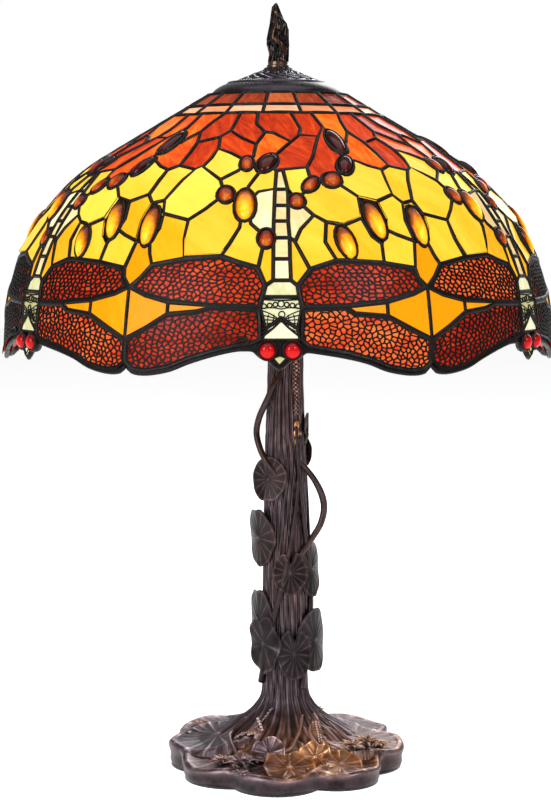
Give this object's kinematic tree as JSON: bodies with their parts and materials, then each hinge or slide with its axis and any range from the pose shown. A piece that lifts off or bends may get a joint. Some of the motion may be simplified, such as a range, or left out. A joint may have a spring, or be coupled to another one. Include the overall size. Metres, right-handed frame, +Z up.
{
  "type": "table lamp",
  "caption": "Table lamp: a leaded art-glass dome with dragonflies and jewels over two bulbs, on a cast bronze tree-trunk stand with lily leaves.",
  "frame": {"origin": "centre of the underside of the foot's felt, on the vertical axis that the shade turns about", "axes": "+Z up along the rod, -Y is the front of the lamp, +X to its right seen from the front"},
  "size_m": [0.407, 0.4106, 0.5674],
  "materials": {
    "bronze": "cast metal with a rubbed dark bronze patina",
    "felt": "dense wool felt",
    "grommet_rubber": "moulded rubber",
    "steel": "zinc plated steel",
    "brass": "lacquered brass",
    "porcelain": "glazed porcelain",
    "contact_brass": "bright brass",
    "wire_sleeve": "fabric covered wire",
    "nickel": "nickel plated",
    "bulb_glass": "frosted glass, lit",
    "cap_bronze": "dark bronze patina",
    "finial_bronze": "dark polished bronze",
    "solder": "black patina on solder",
    "rust_glass": "opalescent art glass",
    "peach_glass": "opalescent art glass",
    "orange_glass": "opalescent art glass",
    "amber_glass": "opalescent art glass",
    "cream_glass": "opalescent art glass",
    "thorax_glass": "opalescent art glass",
    "red_glass": "opalescent art glass",
    "filigree": "etched brass with black patina",
    "amber_jewel": "pressed glass cabochon",
    "dark_jewel": "pressed glass cabochon",
    "red_jewel": "pressed glass cabochon"
  },
  "bodies": {
    "root": {"base_felt": "felt", "center_rod": "steel", "cluster_body": "brass", "cord_grommet": "grommet_rubber", "foot_casting": "bronze", "riser_tube": "steel", "rod_coupling": "brass", "rod_nut": "steel", "rod_washer": "steel", "seat_disc": "brass", "seat_nut": "steel", "socket_contact_left": "contact_brass", "socket_contact_right": "contact_brass", "socket_insulator_left": "porcelain", "socket_insulator_right": "porcelain", "socket_shell_left": "brass", "socket_shell_right": "brass", "socket_wires": "wire_sleeve", "supply_wire": "wire_sleeve", "trunk_casting": "bronze", "trunk_collar": "brass"},
    "bulb_left": {"bulb_cap_left": "nickel", "bulb_glass_left": "bulb_glass"},
    "bulb_right": {"bulb_cap_right": "nickel", "bulb_glass_right": "bulb_glass"},
    "shade": {"body_filigree": "filigree", "dragonfly_eyes": "red_jewel", "glass_amber": "amber_glass", "glass_chin": "thorax_glass", "glass_cream": "cream_glass", "glass_orange": "orange_glass", "glass_peach_band": "peach_glass", "glass_rust_band": "rust_glass", "glass_side_panes": "amber_glass", "glass_tail": "cream_glass", "glass_thorax": "thorax_glass", "heat_cap": "cap_bronze", "jewels_amber": "amber_jewel", "jewels_dark": "dark_jewel", "jewels_round": "dark_jewel", "leading": "solder", "shade_top_ring": "brass", "wing_filigree_lower": "filigree", "wing_filigree_upper": "filigree", "wing_glass_lower": "red_glass", "wing_glass_upper": "red_glass"},
    "finial_collar": {"finial_collar": "finial_bronze"},
    "finial": {"finial_casting": "finial_bronze"}
  },
  "joints": [
    {"name": "shade_turn", "type": "hinge", "parent": "root", "child": "shade", "pos_m": [0, 0, 0.5], "axis": [0, 0, 1], "continuous": true},
    {"name": "finial_turn", "type": "hinge", "parent": "finial_collar", "child": "finial", "pos_m": [0, 0, 0.53], "axis": [0, 0, 1], "range_deg": [0, 1800]},
    {"name": "finial_lift", "type": "slide", "parent": "root", "child": "finial_collar", "axis": [0, 0, 1], "range_m": [0, 0.0075]},
    {"name": "bulb_left_turn", "type": "hinge", "parent": "root", "child": "bulb_left", "pos_m": [-0.072, 0, 0.402], "axis": [-0.7071, 0, 0.7071], "continuous": true},
    {"name": "bulb_right_turn", "type": "hinge", "parent": "root", "child": "bulb_right", "pos_m": [0.072, 0, 0.402], "axis": [0.7071, 0, 0.7071], "continuous": true}
  ],
  "couplings": [
    {"joint": "finial_turn", "follows": "finial_lift", "rad_per_m": 4188.8}
  ]
}
